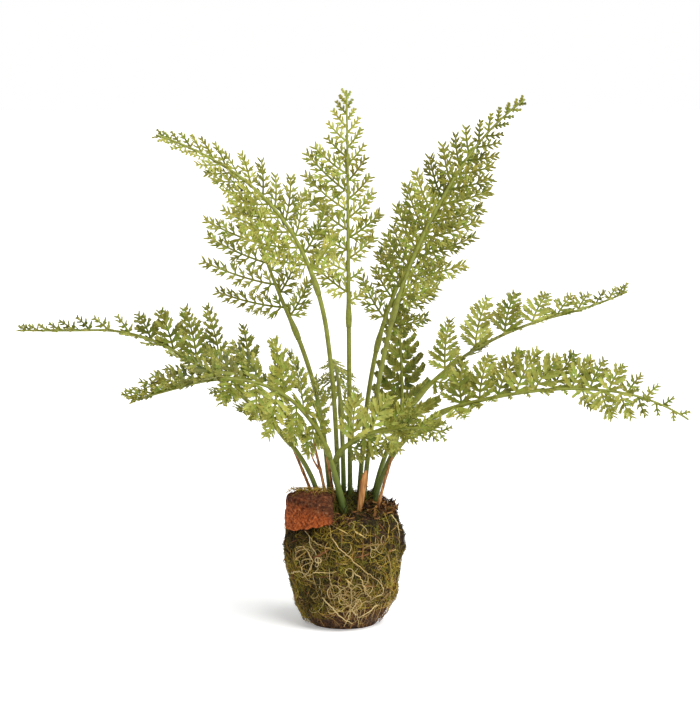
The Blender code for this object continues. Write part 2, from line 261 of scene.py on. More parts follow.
def joined(groups):
    """Several results of bars as one: points, a list of face arrays, and tones."""
    start, faces = 0, []
    for points, sides, caps, _ in groups:
        faces += [sides + start, caps + start]
        start += len(points)
    points, _, _, tones = zip(*groups)
    return np.concatenate(points), faces, np.concatenate(tones)


def tone_channels(tree):
    """The tone attribute's three channels: share of the length, a random value, and 1 at the sides."""
    tone = add_node(tree, "Attribute", attribute_name="tone", attribute_type="GEOMETRY")
    return add_node(tree, "SeparateColor", {"Color": tone}).node.outputs


def toned_finish(name, roughness, specular, *stops):
    """A finish with one colour for each thin bar, read from a ramp by the bar's own random value."""
    finish, tree = new_finish(name, roughness, specular)
    paint(tree, add_node(tree, "ValToRGB", {"Fac": tone_channels(tree)[1]}, stops=stops))
    return finish


def on_crown(count, turn, radius, lift):
    """Random places over the soil's crown, between limits of turn, radius and lift above it."""
    around, out, up = (random.uniform(*limits, (count, 1)) for limits in (turn, radius, lift))
    x, y = out * np.cos(around), out * np.sin(around)
    return np.stack([x, y, crown_height(x, y) + up], axis=-1)


def crumbs(count, turn, radius, lift, size):
    """Lumps on the crown: each is a short bar, fat in the middle."""
    middle = on_crown(count, turn, radius, lift)
    way = unit(random.normal(0, 1, (count, 1, 3)))
    big = size * random.uniform(0.4, 1.0, (count, 1))
    centres = middle + way * (np.array([-1.0, -0.4, 0.4, 1.0]) * big)[..., None]
    chance = random.uniform(0, 1, (count, 1))
    wide = big * random.uniform(0.5, 1.0, (count, 4)) * (0.35, 1.0, 0.9, 0.3)
    above = random.normal(0, 1, (count, 1, 3))
    return bars(centres, above, wide, wide * 0.8, PENTAGON, chance=chance)


def litter(count, turn, radius, lift, length, steepest):
    """Scraps on the crown: flat bars with a bend, a millimetre wide, tilted from level by as much as the
    steepest angle in degrees."""
    share = np.linspace(-0.5, 0.5, 5)[:, None]
    tilt = np.radians(random.uniform(-15, steepest, (count, 1)))
    turned = random.uniform(0, 2 * np.pi, (count, 1))
    way = np.stack([np.cos(tilt) * np.cos(turned), np.cos(tilt) * np.sin(turned), np.sin(tilt)], axis=-1)
    bend = random.normal(0, 0.35, (count, 1, 3))
    long = length * random.uniform(0.4, 1.0, (count, 1, 1))
    centres = on_crown(count, turn, radius, lift) + long * (way * share + bend * share**2)
    wide = 0.00055 * random.uniform(0.5, 1.4, (count, 1)) * (0.5, 1.0, 0.9, 1.0, 0.15)
    chance = random.uniform(0, 1, (count, 1))
    above = random.normal(0, 1, (count, 1, 3))
    return bars(centres, above, wide, wide * 0.3, DIAMOND, chance=chance)


# Broken peat and bark: dull, each crumb a brown of its own, darkest where it is damp.
crumb_finish = toned_finish(
    "loose_peat_and_bark", 0.95, 0.15,
    (0.0, "#140d08"), (0.45, "#302012"), (0.75, "#523821"), (1.0, "#75553a"),
)
FULL_TURN = (0, 2 * np.pi)
# Count, limits of turn, of radius and of lift, and size.
loose = joined(
    [
        crumbs(700, FULL_TURN, (0.001, 0.0265), (0.0, 0.0014), 0.0012),
        crumbs(420, (-0.8, 2.4), (0.0120, 0.0275), (0.0005, 0.0050), 0.0011),
        crumbs(160, (-0.6, 1.6), (0.0265, 0.0300), (0.0, 0.0050), 0.0010),
        crumbs(160, (-1.85, -1.45), (0.0200, 0.0310), (-0.0020, 0.0030), 0.0010),
    ]
)
new_piece("soil_crumbs", loose, crumb_finish, smooth=False)

# Dead leaf and bark: brittle and dull, from dark brown to straw.
litter_finish = toned_finish(
    "dead_leaf_and_bark", 0.9, 0.15,
    (0.0, "#20130a"), (0.4, "#43290f"), (0.7, "#6b4420"), (0.88, "#8f6635"), (1.0, "#a98552"),
)
# Count, limits of turn, of radius and of lift, length, and steepest tilt.
scraps = joined(
    [
        litter(150, FULL_TURN, (0.004, 0.0260), (0.0005, 0.0020), 0.0060, 25),
        litter(210, (-0.9, 1.9), (0.0150, 0.0280), (0.0010, 0.0055), 0.0070, 45),
        litter(110, (-0.6, 1.4), (0.0240, 0.0300), (0.0005, 0.0060), 0.0065, 70),
        litter(50, (-1.90, -1.40), (0.0180, 0.0300), (0.0, 0.0030), 0.0060, 40),
    ]
)
new_piece("crown_litter", scraps, litter_finish, smooth=False)

# --------------------------------------------------------------------------------------------------
# Moss jacket. Dried sheet moss wrapped round the plug and matted with fine roots, olive, brown and straw
# coloured. It is laid on as a damp sheet, so it is open at the top and bottom, its rim stands up ragged,
# and it hangs lowest at the left.

# The mat's outline, as heights and radii.
MOSS_SIDE = ((0.002, 0.0225), (0.008, 0.0262), (0.014, 0.0288), (0.026, 0.0315), (0.034, 0.0331))
MOSS_CROWN = ((0.045, 0.0338), (0.054, 0.0331), (0.062, 0.0309), (0.068, 0.0276), (0.073, 0.0242))
MOSS_THICKNESS = 0.0022
MOSS_RADIUS = 0.033  # the mean one, which turns a length round the plug into an angle
moss_rows, moss_around = 84, 240


def moss_foot(turn):
    """The height of the moss's lower edge: high at the right and front, and low elsewhere, plus
    raggedness. The change between the two is a cosine sharpened by a hyperbolic tangent."""
    ragged = 0.0013 * np.cos(9 * turn) * np.cos(5 * turn + 1)
    return 0.0092 + 0.0070 * np.tanh(2.2 * np.cos(turn + 0.75)) + ragged


def moss_rim(turn):
    """The height of the moss's upper edge: lowest at the front, plus raggedness."""
    level = 0.0660 - 0.0045 * np.cos(turn + 1.57)
    return level + 0.0012 * np.cos(7 * turn) + 0.0008 * np.cos(19 * turn + 2)


def moss_place(turn, height, lift):
    """A point over the moss: the outline's radius at a height, plus relief at three sizes and a lift."""
    flat = np.stack([np.cos(turn), np.sin(turn), np.zeros_like(turn)], axis=-1)
    radius = np.interp(height, *np.array(MOSS_SIDE + MOSS_CROWN).T)
    middle = flat * radius[..., None] + np.stack([np.zeros_like(turn)] * 2 + [height], axis=-1)
    relief = 0.0016 * cell_noise(middle, 0.0085, 11) + 0.0008 * cell_noise(middle, 0.0036, 12)
    relief = relief + 0.0004 * cell_noise(middle, 0.0016, 15) - 0.0012
    return middle + flat * (relief + lift)[..., None]


moss_turn = np.linspace(0, 2 * np.pi, moss_around, endpoint=False)[None]
rise_share = np.linspace(0, 1, moss_rows)[:, None]
outer_height = moss_foot(moss_turn) * (1 - rise_share) + moss_rim(moss_turn) * rise_share
moss_turns = np.broadcast_to(moss_turn, outer_height.shape)
moss_grid = np.concatenate(
    [
        moss_place(moss_turns, outer_height, 0),
        moss_place(moss_turns, outer_height, -MOSS_THICKNESS)[::-3],
    ]
)

# Matted moss seen between its shoots: matt, dark and damp looking, in patches of green and brown 10 mm
# across, with shreds of 1.4 mm that catch the light. The dark is partly the mat's own damp brown and
# partly painted shade, for the hollows between the shoots where it shows.
moss_finish, moss_tree = new_finish("matted_sheet_moss", 0.95, 0.15)
place = add_node(moss_tree, "TexCoord", output="Object")
patches = add_node(moss_tree, "TexNoise", {"Vector": place, "Scale": 95, "Detail": 5, "Roughness": 0.6})
shreds = add_node(moss_tree, "TexNoise", {"Vector": place, "Scale": 700, "Detail": 4, "Roughness": 0.7})
patch_share, moss_brown, moss_green = (
    add_node(moss_tree, "ValToRGB", {"Fac": pattern}, stops=stops)
    for pattern, stops in (
        (patches, ((0.42, "#000000"), (0.58, "#ffffff"))),
        (shreds, ((0.35, "#120c08"), (0.52, "#2b1e14"), (0.70, "#5d4833"))),
        (shreds, ((0.35, "#131006"), (0.52, "#2c270c"), (0.70, "#5a5219"))),
    )
)
moss_inputs = {0: patch_share, 6: moss_brown, 7: moss_green}
paint(moss_tree, add_node(moss_tree, "Mix", moss_inputs, output=2, data_type="RGBA"), shreds, 0.0008, 0.9)

moss_faces = [grid_faces(len(moss_grid), moss_around, closed_rows=True)]
moss_made = (moss_grid.reshape(-1, 3), moss_faces, None)
moss_mat = new_piece("moss_mat", moss_made, moss_finish)
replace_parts(moss_mat, "moss_jacket")

# --------------------------------------------------------------------------------------------------
# Moss shoots and fibres. The sheet's own fine shoots, a few millimetres long, and the longer dry fibres
# that lie matted on it. Each is a thin closed bar laid on the moss, tucked in at one end or both. Their
# colour goes by clumps, and they leave some hollows bare.


def near_rim(height):
    """0 up to a height of 44 mm, and from there an even rise to 1 at 54 mm and above."""
    return np.clip((height - 0.044) / 0.010, 0, 1)


def scattered(count, low=0.004):
    """Random turns and heights over the moss, in columns, without those that fall in a bare hollow."""
    turn, height = random.uniform(0, 2 * np.pi, count), random.uniform(low, 0.070, count)
    kept = (height > moss_foot(turn) - 0.002) & (height < moss_rim(turn) + 0.002)
    bare = random.uniform(-0.70, -0.08, count) + 0.28 * near_rim(height)
    kept &= cell_noise(moss_place(turn, height, 0), 0.0075, 17) > bare
    return turn[kept, None], height[kept, None]


def gathered(count, turn, height, spread):
    """Turns in radians and heights in metres, gathered round one place in degrees and millimetres."""
    near = random.normal(0, spread / 1000, (2, count, 1))
    return math.radians(turn) + near[0] / MOSS_RADIUS, height / 1000 + near[1]


def clump_chance(turn, height, scatter):
    """The value that colours a bar on the moss. It goes by clumps of 6 and 17 mm with some scatter, and
    is lower near the rim, so that the moss is darker there."""
    place = moss_place(turn[:, 0], height[:, 0], 0)
    clump = 0.36 * cell_noise(place, 0.0062, 23) + 0.24 * cell_noise(place, 0.0170, 24)
    clump = clump - 0.20 * near_rim(height[:, 0])
    return np.clip(0.5 + clump[:, None] + random.uniform(-scatter, scatter, turn.shape), 0, 1)


def strands(
    where, stations, length, curl, lift, half, slope=None, section=TRIANGLE, scatter=0.5, below=0.012
):
    """Strands that wander over the moss: each starts at its place, and its way turns steadily by the curl
    over its length, with a bow of the given lift off the mat. Its half width falls to a third at the tip.
    A slope in degrees gives them all nearly one way. Below is how far they may hang under its foot."""
    turn, height = where
    shape = turn.shape
    share = np.linspace(0, 1, stations)
    step = length * random.uniform(0.6, 1.4, shape) / (stations - 1)
    start = random.uniform(0, 2 * np.pi, shape)
    if slope is not None:
        start = math.radians(slope) + random.normal(0, 0.35, shape)
        start = start + np.pi * (random.uniform(0, 1, shape) > 0.5)
    way = start + random.normal(0, curl, shape) * share
    way = way + random.normal(0, 0.25, (len(turn), stations)).cumsum(axis=1) * min(1, curl)
    along, up = (np.cumsum(part * step, axis=1) for part in (np.cos(way), np.sin(way)))
    up = height + up
    up = np.clip(up, np.maximum(0.0012, moss_foot(turn) - below), moss_rim(turn) + 0.0040)
    bow = lift * random.uniform(0.2, 1.0, shape) * np.sin(np.pi * share)
    bow = bow + random.uniform(-0.0002, 0.0004, shape)
    centres = moss_place(turn + along / MOSS_RADIUS, up, bow)
    taper = half * random.uniform(0.7, 1.3, shape) * (1 - 0.65 * share)
    chance = clump_chance(turn, height, scatter)
    return bars(centres, centres * (1, 1, 0), taper, taper * 0.8, section, share, chance)


# Dry moss fibre: matt and stringy, from wet brown through olive to straw yellow. The fibres are drawn
# 0.35 mm thick, about twice the real ones, so that they show.
fibre_finish = toned_finish(
    "dry_moss_fibre", 0.85, 0.2, (0.0, "#1c1108"), (0.2, "#35250c"), (0.42, "#5a4d13"),
    (0.62, "#8a7522"), (0.82, "#b59740"), (1.0, "#a67d3e"),
)


def over_lump(count):
    """Fibres that straggle over the coir lump's top from behind: each rises, bows over and hangs."""
    limits = ((-0.031, -0.008), (-0.011, -0.004), (0.0765, 0.0788))
    root = np.stack([random.uniform(*pair, (count, 1)) for pair in limits], axis=-1)
    turned = random.uniform(-3.3, 0.1, (count, 1))
    way = np.stack([np.cos(turned), np.sin(turned), random.uniform(-0.1, 0.40, (count, 1))], axis=-1)
    share = np.linspace(0, 1, 7)
    line = way * share[:, None] - (0, 0, 0.32) * share[:, None] ** 2
    centres = root + random.uniform(0.004, 0.010, (count, 1, 1)) * line
    half = 0.00018 * (1 - 0.6 * share) * random.uniform(0.7, 1.3, (count, 1))
    chance = random.uniform(0.25, 0.95, (count, 1))
    return bars(centres, np.array([0, -1.0, 0.5]), half, half * 0.8, TRIANGLE, share, chance)


fibres = joined(
    [
        over_lump(130),
        strands(gathered(60, -150, 53, 3.5), 6, 0.0080, 1.2, 0.0030, 0.00018, scatter=0.3),
        strands(gathered(60, -130, 55, 3.5), 6, 0.0080, 1.2, 0.0030, 0.00018, scatter=0.3),
        strands(gathered(70, -108, 58, 4.0), 6, 0.0080, 1.2, 0.0030, 0.00018, scatter=0.3),
        strands(scattered(3300), 6, 0.0085, 1.2, 0.0010, 0.00017, scatter=0.3, below=0.003),
        strands(scattered(500), 7, 0.0130, 0.5, 0.0012, 0.00020, slope=-40, scatter=0.4, below=0.003),
    ]
)
new_piece("moss_fibres", fibres, fibre_finish, smooth=False)

# Fine green shoots of moss: slightly waxy, from wet brown through olive to yellow green, clump by clump.
shoot_finish = toned_finish(
    "green_moss_shoot", 0.8, 0.25,
    (0.0, "#181305"), (0.3, "#38350c"), (0.55, "#625d17"), (0.8, "#91882b"), (1.0, "#b8a244"),
)
SHOOT_TAPER = np.array([1, 1.1, 0.8, 0.25])


def shoots(where, each):
    """Short shoots that stand off the moss in tufts: each tuft's shoots fan out of nearly one place."""
    turn, height = (np.repeat(part, each, axis=0) for part in where)
    shape = turn.shape
    share = np.linspace(0, 1, 4)
    way = random.uniform(0, 2 * np.pi, shape)
    long = random.uniform(0.0014, 0.0036, shape)
    sideways = turn + random.normal(0, 0.012, shape) + np.cos(way) * long * share / MOSS_RADIUS
    up = height + random.normal(0, 0.0005, shape) + np.sin(way) * long * share
    off = random.uniform(0.25, 0.9, shape) * long * (share - 0.35 * share**2) - 0.0003
    centres = moss_place(sideways, np.clip(up, 0.0008, 0.0735), off)
    wide = 0.00024 * SHOOT_TAPER * random.uniform(0.7, 1.3, shape)
    chance = clump_chance(turn, height, 0.28)
    return bars(centres, centres * (1, 1, 0.2), wide, wide * 0.5, TRIANGLE, share, chance)


def crown_shoots(count, turn, radius, lift, each, length=0.0044, steepest=1.6):
    """Tufts of shoots on the soil's crown, between the stems: each fans out and bends over at its tip."""
    root = np.repeat(on_crown(count, turn, radius, lift), each, axis=0)
    root = root + wobble((count * each, 1, 3), 0.0006)
    fan = random.uniform(0, 2 * np.pi, (count * each, 1))
    way = unit(np.stack([np.cos(fan), np.sin(fan), random.uniform(0.3, steepest, fan.shape)], axis=-1))
    share = np.linspace(0, 1, 4)[:, None]
    long = length * random.uniform(0.36, 1.0, (count * each, 1, 1))
    centres = root + long * (way * share - (0, 0, 0.35) * share**2)
    wide = 0.00026 * SHOOT_TAPER * random.uniform(0.7, 1.3, fan.shape)
    chance = np.repeat(random.uniform(0.0, 0.62, (count, 1)), each, axis=0)
    return bars(centres, np.array([0, -1.0, 0.3]), wide, wide * 0.5, TRIANGLE, share[:, 0], chance)


tufts = joined(
    [
        shoots(scattered(1150), 7),
        crown_shoots(150, FULL_TURN, (0.002, 0.0250), (-0.0005, 0.0010), 7),
        crown_shoots(90, (0.6, 2.9), (0.0100, 0.0260), (0.0005, 0.0035), 7),
        crown_shoots(130, FULL_TURN, (0.0020, 0.0180), (0.0, 0.0020), 5, length=0.0150, steepest=3.0),
    ]
)
new_piece("moss_shoots", tufts, shoot_finish, smooth=False)

# --------------------------------------------------------------------------------------------------
# Roots and straw. Dry root hairs that curl over the moss, tan to cream, some in knots and some long and
# forked, and a few flat bits of straw and bark that are caught in it.

# Dry root hair: smooth enough to shine a little, tan to cream. It is drawn 0.3 to 0.8 mm thick, up to
# twice the real.
root_finish = toned_finish(
    "dry_root_hair", 0.7, 0.3,
    (0.0, "#5f4624"), (0.35, "#8f7543"), (0.7, "#c6b179"), (1.0, "#b79a62"),
)

LAID_STEPS = 24
# Each root's places on the moss, as turn in degrees and height in mm, and its half width in mm.
LAID_ROOTS = (
    (((-155, 31), (-145, 33), (-136, 34), (-129, 33), (-122, 33)), 0.34),
    (((-115, 20), (-104, 16), (-97, 11), (-86, 7), (-78, 4)), 0.42),
    (((-87, 31), (-81, 22), (-83, 15), (-83, 11), (-83, 7)), 0.36),
    (((-83, 12), (-86, 8), (-90, 3)), 0.28),
    (((-82, 14), (-77, 11), (-75, 10)), 0.24),
    (((-78, 18), (-75, 11), (-72, 6), (-69, 2)), 0.30),
    (((-50, 15), (-64, 11), (-74, 8)), 0.34),
    (((-46, 44), (-42, 39), (-41, 35), (-39, 32), (-33, 25)), 0.36),
    (((-31, 65), (-23, 57), (-17, 50)), 0.30),
    (((-80, 35), (-73, 32), (-70, 27), (-66, 22)), 0.30),
    (((-70, 49), (-61, 51), (-56, 50), (-49, 51)), 0.34),
    (((-101, 54), (-88, 46), (-72, 37), (-46, 26)), 0.28),
    (((-132, 48), (-125, 46), (-120, 41), (-122, 36)), 0.34),
    (((-119, 35), (-107, 35), (-96, 36)), 0.26),
    (((-128, 55), (-112, 50), (-92, 47)), 0.24),
)


def laid(route, half_width):
    """One root laid along its places: they are read at equal steps, and each is averaged with its
    neighbours a few times so that there are no corners."""
    turn, height = np.array(route, float).T
    given, steps = np.arange(len(route)), np.linspace(0, len(route) - 1, LAID_STEPS)
    line = np.stack([np.interp(steps, given, row) for row in (np.radians(turn), height / 1000)])
    for _ in range(4):
        line[:, 1:-1] = (line[:, :-2] + 2 * line[:, 1:-1] + line[:, 2:]) / 4
    line = line + random.normal(0, 0.00025, line.shape) * [[30], [1]]
    share = np.linspace(0, 1, LAID_STEPS)
    centres = moss_place(line[0][None], line[1][None], 0.0013 + 0.0008 * np.sin(np.pi * share)[None])
    width = half_width / 1000 * (1 - 0.5 * share)
    chance = random.uniform(0.2, 1.0)
    return bars(centres, centres * (1, 1, 0), width, width, PENTAGON, share, chance)


# Strands: their places, stations, length, curl, lift and half width.
roots = joined(
    [laid(*root) for root in LAID_ROOTS]
    + [
        strands(scattered(46), 14, 0.020, 2.2, 0.0022, 0.00022),
        strands(scattered(150), 9, 0.011, 3.5, 0.0020, 0.00016),
        strands(gathered(12, -118, 42, 1.0), 22, 0.018, 7.0, 0.0030, 0.00032),
        strands(gathered(9, -128, 45, 2.0), 14, 0.012, 4.0, 0.0026, 0.00026),
        strands(gathered(34, -88, 21, 4.5), 14, 0.013, 3.0, 0.0026, 0.00028),
        strands(gathered(30, -66, 22, 4.0), 14, 0.012, 3.0, 0.0026, 0.00026),
        strands(gathered(14, -106, 23, 4.0), 14, 0.012, 3.0, 0.0026, 0.00026),
        strands(gathered(9, -60, 50, 2.0), 14, 0.010, 4.0, 0.0024, 0.00022),
        strands(gathered(16, -45, 18, 4.0), 14, 0.012, 3.0, 0.0024, 0.00024),
    ]
)
new_piece("pale_roots", roots, root_finish, smooth=True)

# Straw and bark: flat, hard and a little glossy, from red brown to pale straw.
straw_finish = toned_finish(
    "straw_and_bark_shred", 0.75, 0.3,
    (0.0, "#3b2413"), (0.35, "#6f4522"), (0.65, "#9b7338"), (1.0, "#c2a765"),
)


def bare_foot(count):
    """Random turns and heights over the plug's foot, where the moss leaves it bare."""
    return random.uniform(0, 2 * np.pi, (count, 1)), random.uniform(0.0040, 0.0160, (count, 1))


straws = joined(
    [
        strands(scattered(200), 4, 0.009, 0.25, 0.0014, 0.00038, section=DIAMOND),
        strands(scattered(70, 0.052), 4, 0.010, 0.25, 0.0016, 0.00042, slope=-35, section=DIAMOND),
        laid(((-119, 43), (-112, 45), (-105, 48)), 0.70),
        strands(bare_foot(650), 6, 0.0065, 1.4, 0.0003, 0.00017, below=0.020),
    ]
)
new_piece("straw_shreds", straws, straw_finish, smooth=False)

# --------------------------------------------------------------------------------------------------
# Coir lump. A rust coloured porous lump of pressed coconut husk let into the upper front left of the
# plug. Its outer side keeps the round of the plug, and its top is browner and full of pits.

lump_low, lump_high = (np.array(corner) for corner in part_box("coir_lump"))
lump_rows, lump_columns = 110, 150
LUMP_ROUND = 0.0347  # the radius that its outer side keeps


def rounded_box_point(direction, half, softness):
    """Where a ray from the middle meets a box with round edges, by the p-norm with p the softness."""
    scaled = np.abs(direction) / half
    return direction / (scaled**softness).sum(-1, keepdims=True) ** (1 / softness)


polar = np.linspace(0.002, np.pi - 0.002, lump_rows)[:, None]
around = np.linspace(0, 2 * np.pi, lump_columns, endpoint=False)
ray = np.sin(polar) * np.cos(around), np.sin(polar) * np.sin(around), -np.cos(polar)
ray = np.stack(np.broadcast_arrays(*ray), axis=-1)
lump_grid = (lump_low + lump_high) / 2 + rounded_box_point(ray, (lump_high - lump_low) / 2 - 0.0004, 9)
reach = np.linalg.norm(lump_grid[..., :2], axis=-1, keepdims=True)
lump_grid[..., :2] *= np.minimum(1, LUMP_ROUND / reach)
end_share, back_share, top_share = ((lump_grid - lump_low) / (lump_high - lump_low)).transpose(2, 0, 1)
# The top falls away at both ends and to the front, and the underside rises to the right.
falls = 1 - end_share / 0.35, (end_share - 0.7) / 0.3
left_fall, right_fall = (np.clip(part, 0, 1) ** 2 for part in falls)
sloped = 0.0035 * left_fall + 0.0030 * right_fall + 0.0055 * (1 - back_share)
lump_grid[..., 2] += 0.0075 * end_share * (1 - top_share) - sloped * top_share
depth = lump_high[2] - sloped - lump_grid[..., 2]
# The surface is granular at 1.2 and 3.6 mm, with pits about 2 mm across where a third noise is high.
pits = cell_noise(lump_grid, 0.0012, 31) * 0.0003 + cell_noise(lump_grid, 0.0036, 32) * 0.0008
pits = pits - 0.0020 * np.clip(cell_noise(lump_grid, 0.0019, 33) - 0.20, 0, 1) - 0.0004
lump_points = lump_grid + ray * pits[..., None]
topness = np.clip(1 - depth / 0.0110 + 0.50 * right_fall + 0.34 * cell_noise(lump_grid, 0.0026, 34), 0, 1)
lump_tone = np.stack(np.broadcast_arrays(topness, 0.0, 0.0, 1.0), axis=-1)

# Coir dust pressed with a binder: matt and open-pored, rust red on its cut sides, and brown black with
# pale grains on its weathered top. Grains are 1.6 mm across and pores 1.8 mm, and the pores are painted
# dark as the shade inside them.
coir_finish, coir_tree = new_finish("pressed_coir", 0.95, 0.15)
place = add_node(coir_tree, "TexCoord", output="Object")
grain = add_node(coir_tree, "TexNoise", {"Vector": place, "Scale": 620, "Detail": 5, "Roughness": 0.65})
pores = add_node(coir_tree, "TexVoronoi", {"Vector": place, "Scale": 560})
crust, husk, pore_shade = (
    add_node(coir_tree, "ValToRGB", {"Fac": pattern}, stops=stops)
    for pattern, stops in (
        (grain, ((0.34, "#42200f"), (0.47, "#863f1b"), (0.58, "#ab5a2b"), (0.72, "#c67c4b"))),
        (grain, ((0.34, "#190e08"), (0.50, "#402414"), (0.62, "#653d24"), (0.75, "#957b64"))),
        (pores, ((0.10, "#3a2a22"), (0.32, "#ffffff"))),
    )
)
uneven = add_node(coir_tree, "Math", {0: grain, 1: tone_channels(coir_tree)[0]}, operation="ADD")
top_mix = add_node(coir_tree, "MapRange", {"Value": uneven, "From Min": 0.60, "From Max": 1.55})
coir_colour = add_node(coir_tree, "Mix", {0: top_mix, 6: crust, 7: husk}, output=2, data_type="RGBA")
# Painted shade: the colour is darkened in the pores.
pored = {0: 0.85, 6: coir_colour, 7: pore_shade}
pored = add_node(coir_tree, "Mix", pored, output=2, data_type="RGBA", blend_type="MULTIPLY")
paint(coir_tree, pored, grain, 0.0010, 0.9)

coir_made = (lump_points.reshape(-1, 3), capped_faces(lump_rows, lump_columns), lump_tone)
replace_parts(new_piece("coir_block", coir_made, coir_finish), "coir_lump")

# --------------------------------------------------------------------------------------------------
# Stems. Olive green polyethylene moulded over wire, about 2.7 mm thick, duller olive above and painted
# darker green at the foot as shade. Each is pushed into the soil plug, and bends as the weight of its frond
# would bend it.

SOIL_LEVEL = 0.062
SOCKET_DEPTH, PUSHED_IN = 0.008, 0.0075
RAIL_STEPS = 160
# The painted shade at a stem's foot fades out by this height.
STEM_FADE = 0.20  # how far above the soil a stem has its last change of colour
OCTAGON = tuple((math.cos(i * math.pi / 4), math.sin(i * math.pi / 4)) for i in range(8))

# Each frond's foot on the soil (x, y), heading, length with its stem, leans from upright at equal steps,
# and the share of its length that is bare stem. Then, for its blade: its kind, how much paler or darker
# than usual it is, which is painted light and shade for how well lit the frond stands, its pairs of
# branches, how strongly they crowd towards the tip (1 is evenly), and the way that its upper side faces
# at the collar and at the tip (azimuth and elevation). The last rows are read at equal steps from the
# lowest branch to the tip, on the left side and on the right: the branches' lengths in mm, and in
# degrees how far they are raised out of the blade, and their angles from the rib.
USUAL = dict(kind="lace", shade=0.0, crowding=1.35, raised=((5, 5), (5, 5)), angles=((66, 44), (66, 44)))
FRONDS = {
    "tall_left": dict(
        foot=(-0.0030, 0.0010), heading=195, length=0.258, leans=(1, 3, 8, 28, 54, 73), bare=0.52, pairs=15,
        face=((-70, 40), (-70, 40)), left=(34, 36, 29, 19, 11, 4), right=(26, 28, 19, 15, 10, 4),
        raised=((10, 10), (10, 10)),
    ),
    "back_left": dict(
        foot=(-0.0070, 0.0090), heading=160, length=0.188, leans=(6, 6, 17, 26, 21, 24), bare=0.58,
        shade=0.03, pairs=7, face=((-90, 20), (-90, 20)), left=(44, 38, 40, 32, 17, 6),
        right=(22, 24, 20, 14, 10, 5),
    ),
    "centre": dict(
        foot=(0.0035, 0.0050), heading=98, length=0.238, leans=(2, 3, 4, 3, 3, 10), bare=0.48, shade=0.16,
        pairs=13, face=((-90, 5), (-90, 5)), left=(20, 24, 22, 20, 34, 30, 25, 16, 12, 8, 3),
        right=(26, 5, 13, 22, 22, 17, 15, 13, 10, 6, 3),
    ),
    "tall_right": dict(
        foot=(0.0105, -0.0010), heading=-15, length=0.257, leans=(4, 8, 13, 24, 33, 54), bare=0.47,
        shade=-0.05, pairs=15, face=((-90, 15), (-90, 15)), left=(20, 22, 25, 25, 22, 16, 11, 6, 3),
        right=(15, 30, 34, 31, 26, 21, 16, 10, 5, 3),
    ),
    "back_right": dict(
        foot=(0.0080, 0.0110), heading=20, length=0.218, leans=(4, 5, 12, 26, 33, 40), bare=0.46,
        shade=-0.06, pairs=12, face=((-90, 10), (-90, 10)), left=(34, 20, 22, 18, 11, 5),
        right=(26, 26, 22, 17, 11, 5),
    ),
    "long_left": dict(
        foot=(-0.0120, -0.0040), heading=172, length=0.220, leans=(8, 40, 54, 62, 92, 90), bare=0.24,
        kind="lobed", shade=0.02, pairs=15, crowding=1.8, face=((-90, 70), (-90, 50)),
        left=(20, 20, 17, 14, 12, 10, 7, 4), right=(34, 43, 44, 37, 27, 18, 12, 11, 9, 6, 4),
        raised=((5, 60), (50, 60)),
    ),
    "low_left": dict(
        foot=(0.0005, -0.0140), heading=202, length=0.172, leans=(10, 18, 43, 77, 102, 103), bare=0.26,
        kind="lobed", shade=-0.08, pairs=12, crowding=1.6, face=((-90, 75), (-90, 70)),
        left=(18, 22, 28, 20, 11, 4), right=(36, 34, 28, 22, 15, 7),
        raised=((-25, -42, -58, 20, 70, 80), (35, 45)), angles=((125, 130, 105, 65, 55, 44), (66, 44)),
    ),
    "mid_right": dict(
        foot=(0.0155, 0.0040), heading=12, length=0.209, leans=(7, 24, 48, 65, 78, 67), bare=0.36,
        kind="lobed", pairs=10, crowding=1.8, face=((-90, 60), (-90, 60)), left=(32, 32, 28, 20, 13, 6),
        right=(32, 22, 12, 9, 5, 3), raised=((32, 20), (20, 55)),
    ),
    "long_right": dict(
        foot=(0.0165, -0.0050), heading=-12, length=0.215, leans=(4, 37, 73, 82, 96, 123), bare=0.36,
        kind="lobed", shade=0.10, pairs=13, crowding=1.0, face=((-90, 60), (-90, 10)),
        left=(24, 27, 27, 25, 22, 18, 16, 11, 7, 4), right=(20, 13, 5, 4, 4, 21, 13, 6, 4),
        raised=((30, 25, 10), (20, 0)), angles=((88, 68, 62, 78, 80, 60), (80, 70)),
    ),
    "short_right": dict(
        foot=(0.0140, 0.0110), heading=59, length=0.128, leans=(25, 54, 26, -1, -7, -1), bare=0.38,
        kind="bladed", shade=-0.04, pairs=11, face=((-90, 10), (-90, 10)), left=(23, 21, 17, 13, 9, 4),
        right=(25, 23, 18, 14, 9, 4), raised=((0, 0), (0, 0)),
    ),
    "front": dict(
        foot=(0.0030, -0.0095), heading=-19, length=0.104, leans=(-22, -22, 46, 76, 84, 104), bare=0.40,
        kind="lobed", shade=0.08, pairs=7, face=((-90, 25), (-90, 35)), left=(26, 26, 22, 17, 11, 5),
        right=(18, 18, 15, 12, 9, 5), raised=((15, 15), (-25, -10)),
    ),
    "back": dict(
        foot=(0.0000, 0.0135), heading=95, length=0.138, leans=(10, 18, 38, 65, 85, 95), bare=0.45,
        kind="lobed", shade=0.15, pairs=7, face=((-90, 45), (-90, 45)), left=(17, 17, 15, 12, 8, 4),
        right=(17, 17, 15, 12, 8, 4), raised=((-40, -30), (-40, -30)),
    ),
}
FRONDS = {name: USUAL | frond for name, frond in FRONDS.items()}


